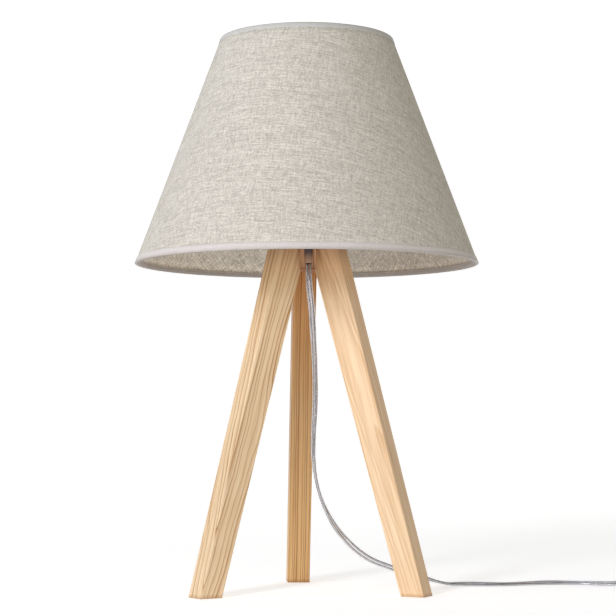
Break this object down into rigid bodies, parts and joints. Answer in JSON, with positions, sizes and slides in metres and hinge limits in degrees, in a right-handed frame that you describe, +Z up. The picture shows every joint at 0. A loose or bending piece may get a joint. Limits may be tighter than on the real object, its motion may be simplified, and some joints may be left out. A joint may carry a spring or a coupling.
{
  "type": "tripod table lamp",
  "caption": "Table lamp with a wooden tripod, a tapered linen shade on a screw lampholder, and a clear cord with in-line rocker switch and plug.",
  "frame": {"origin": "on the floor under the middle of the shade", "axes": "+Z up; +X to the right and -Y towards the viewer of the front"},
  "size_m": [0.5883, 0.2994, 0.482],
  "materials": {
    "pine": "clear matt lacquer, eased edges",
    "pine_block": "sawn and sanded",
    "beech_dowel": "fluted dowel",
    "zinc_steel": "bright zinc plate",
    "dark_polymer": "moulded, matt",
    "clear_cord": "clear sheath over tinned strands, twin core",
    "wire_sleeving": "thin insulation",
    "holder_white": "moulded thermoplastic",
    "holder_core": "moulded heat-resisting insert",
    "contact_brass": "stamped strip",
    "shell_brass": "rolled thread",
    "cap_nickel": "nickel-plated rolled thread",
    "black_glass": "vitrite insulator",
    "solder": "soft solder",
    "bulb_collar_white": "moulded",
    "opal": "opal diffuser",
    "board": "white-coated board",
    "linen": "plain-woven linen, slubbed",
    "lining": "laminated backing film",
    "tape": "folded binding tape",
    "white_wire": "white powder coat",
    "switch_white": "moulded",
    "plug_white": "moulded",
    "pin_nickel": "nickel plate",
    "pin_sleeve": "moulded sleeve"
  },
  "bodies": {
    "frame": {"leg_back": "pine", "leg_front_left": "pine", "leg_front_right": "pine", "hub_block": "pine_block", "hub_dowels": "beech_dowel", "leg_screws": "zinc_steel", "top_plate": "pine", "threaded_tube": "zinc_steel", "lock_nut": "zinc_steel", "lock_washer": "zinc_steel", "cord_gland": "dark_polymer", "cord_end": "clear_cord", "lead_wires": "wire_sleeving", "lampholder_cap": "holder_white", "lampholder_core": "holder_core", "centre_contact": "contact_brass", "side_contact": "contact_brass", "terminal_screws": "zinc_steel", "screw_shell": "shell_brass", "lampholder_shell": "holder_white", "shade_ring_lower": "holder_white", "switch_base": "switch_white", "switch_cover": "switch_white", "switch_contact_in": "contact_brass", "switch_contact_out": "contact_brass", "switch_wires": "wire_sleeving", "switch_screws": "zinc_steel", "cord_to_switch": "clear_cord", "cord_to_coil": "clear_cord", "cord_coil": "clear_cord", "cord_to_plug": "clear_cord", "plug_body": "plug_white", "plug_pins": "pin_nickel", "plug_pin_sleeves": "pin_sleeve"},
    "bulb": {"bulb_tip": "solder", "bulb_insulator": "black_glass", "bulb_cap": "cap_nickel", "bulb_collar": "bulb_collar_white", "bulb_led_board": "board", "bulb_globe": "opal"},
    "shade": {"shade_skin": "linen", "shade_backing": "lining", "shade_bottom_ring": "white_wire", "shade_top_ring": "white_wire", "shade_bottom_trim": "tape", "shade_top_trim": "tape", "shade_spider": "white_wire"},
    "clamp_ring": {"shade_ring_upper": "holder_white"},
    "rocker": {"switch_rocker": "switch_white"},
    "lever": {"switch_lever": "contact_brass"}
  },
  "joints": [
    {"name": "shade_turn", "type": "hinge", "parent": "frame", "child": "shade", "pos_m": [0, 0, 0.339], "axis": [0, 0, 1], "continuous": true},
    {"name": "bulb_turn", "type": "hinge", "parent": "frame", "child": "bulb", "pos_m": [0, 0, 0.34], "axis": [0, 0, 1], "range_deg": [0, 1800]},
    {"name": "clamp_ring_turn", "type": "hinge", "parent": "frame", "child": "clamp_ring", "pos_m": [0, 0, 0.343], "axis": [0, 0, 1], "range_deg": [0, 720]},
    {"name": "rocker_press", "type": "hinge", "parent": "frame", "child": "rocker", "pos_m": [0.332, 0.052, 0.0126], "axis": [0, 1, 0], "range_deg": [0, 18]},
    {"name": "lever_rock", "type": "hinge", "parent": "frame", "child": "lever", "pos_m": [0.332, 0.052, 0.00525], "axis": [0, 1, 0], "range_deg": [-12, 0]}
  ],
  "couplings": [
    {"joint": "lever_rock", "follows": "rocker_press", "ratio": -0.66667}
  ]
}
